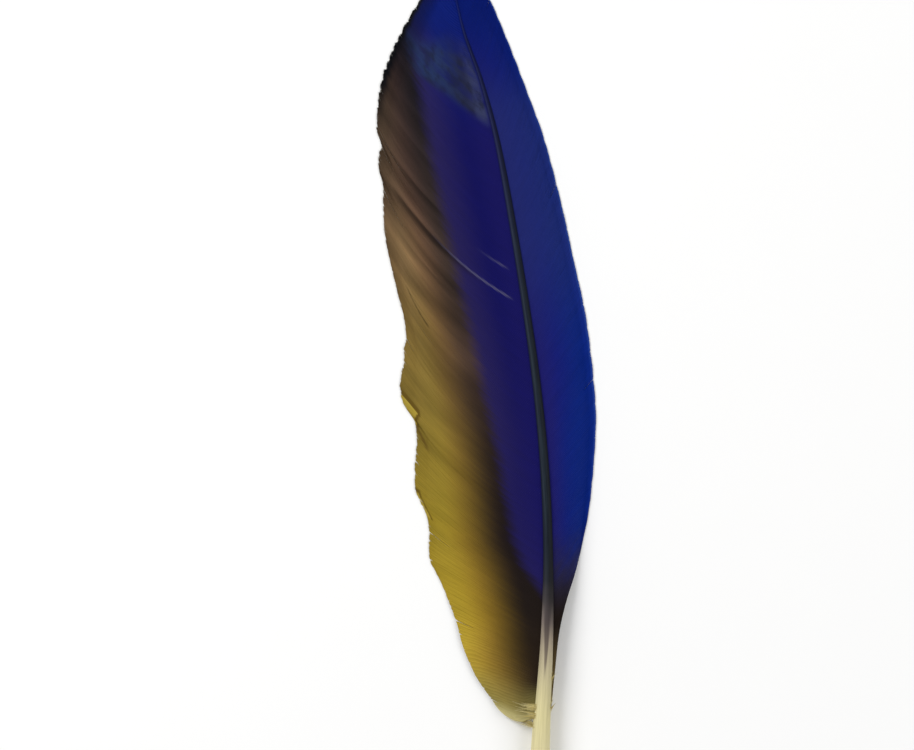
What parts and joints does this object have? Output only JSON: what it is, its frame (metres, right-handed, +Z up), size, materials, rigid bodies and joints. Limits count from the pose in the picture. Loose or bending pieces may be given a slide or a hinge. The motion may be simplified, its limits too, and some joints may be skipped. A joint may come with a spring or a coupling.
{
  "type": "macaw feather",
  "caption": "Long curved wing feather with blue and brown barbed vanes on a slim dark shaft and a bare pale quill, lying flat as a natural ornament or specimen.",
  "frame": {"origin": "on the surface the feather lies on, under the middle of its bounding box", "axes": "+Y from the quill's end towards the tip, +Z up out of the feather's upper side, +X towards the narrow outer vane"},
  "size_m": [0.0518, 0.2442, 0.0084],
  "materials": {
    "vane": "satin blue barbs with a dark and golden brown inner margin",
    "shaft": "satin, dark towards the tip and bone coloured at the quill",
    "down": "soft loose cream barbs"
  },
  "bodies": {
    "root": {"feather": "vane"}
  },
  "joints": []
}
